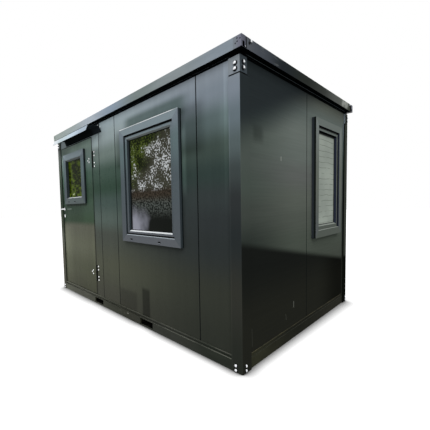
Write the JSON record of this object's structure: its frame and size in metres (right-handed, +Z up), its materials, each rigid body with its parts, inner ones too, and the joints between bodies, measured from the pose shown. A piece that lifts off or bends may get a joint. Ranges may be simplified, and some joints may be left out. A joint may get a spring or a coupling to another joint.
{
  "type": "office container cabin",
  "caption": "Steel-framed office cabin with insulated panel walls, an outward-opening glazed door, fixed windows, a rain hood and a base frame with fork pockets.",
  "frame": {"origin": "on the ground, at the centre of the footprint of the whole cabin including its rain hood and roof edge", "axes": "+X along the long side to the right as one faces the door, -Y is the front with the door, +Z is up"},
  "size_m": [3.274, 2.574, 2.4],
  "materials": {
    "frame_steel": "semi-gloss dark green-grey paint",
    "wall_paint": "gloss dark green coating",
    "roof_edge": "semi-gloss blue-grey paint",
    "roof_steel": "weathered zinc-coated sheet",
    "ceiling_panel": "off-white coating",
    "floor_board": "coated plywood",
    "window_frame": "anthracite foil",
    "window_sash": "anthracite foil",
    "glass": "clear double glazing",
    "zinc": "bright zinc plate",
    "lever_chrome": "polished",
    "hinge_black": "black powder coat"
  },
  "bodies": {
    "cabin": {"base_rail_front": "frame_steel", "base_rail_back": "frame_steel", "base_rail_left": "frame_steel", "base_rail_right": "frame_steel", "fork_pockets": "frame_steel", "floor_bearers": "frame_steel", "floor_deck": "floor_board", "post_front_left": "frame_steel", "post_front_right": "frame_steel", "post_back_left": "frame_steel", "post_back_right": "frame_steel", "roof_corners": "frame_steel", "roof_rail_front": "roof_edge", "roof_rail_back": "roof_edge", "roof_rail_left": "roof_edge", "roof_rail_right": "roof_edge", "roof_panel": "ceiling_panel", "roof_sheet": "roof_steel", "front_narrow_panel": "wall_paint", "front_window_panel": "wall_paint", "front_corner_panel": "wall_paint", "right_panel_near": "wall_paint", "right_window_panel": "wall_paint", "left_panel_near": "wall_paint", "left_panel_far": "wall_paint", "back_panel_left": "wall_paint", "back_panel_middle": "wall_paint", "back_panel_right": "wall_paint", "door_jamb_lock": "wall_paint", "door_jamb_hinge": "wall_paint", "door_head": "wall_paint", "door_sill": "zinc", "front_window_frame": "window_frame", "front_window_sash": "window_sash", "front_window_glass": "glass", "end_window_frame": "window_frame", "end_window_sash": "window_sash", "end_window_glass": "glass", "hinge_plates": "hinge_black", "rain_hood": "wall_paint"},
    "door": {"door_leaf": "wall_paint", "door_window_frame": "window_frame", "door_window_glass": "glass", "hinge_flaps": "hinge_black", "lock_plates": "zinc"},
    "lever": {"lever_handle": "lever_chrome"}
  },
  "joints": [
    {"name": "door_swing", "type": "hinge", "parent": "cabin", "child": "door", "pos_m": [-0.52, -1.086, 0.5], "axis": [0, 0, 1], "range_deg": [0, 110]},
    {"name": "lever_turn", "type": "hinge", "parent": "door", "child": "lever", "pos_m": [-1.455, -1.075, 1.255], "axis": [0, 1, 0], "range_deg": [0, 40], "stiffness_Nm_per_rad": 1.2, "springref_deg": -20.05}
  ]
}
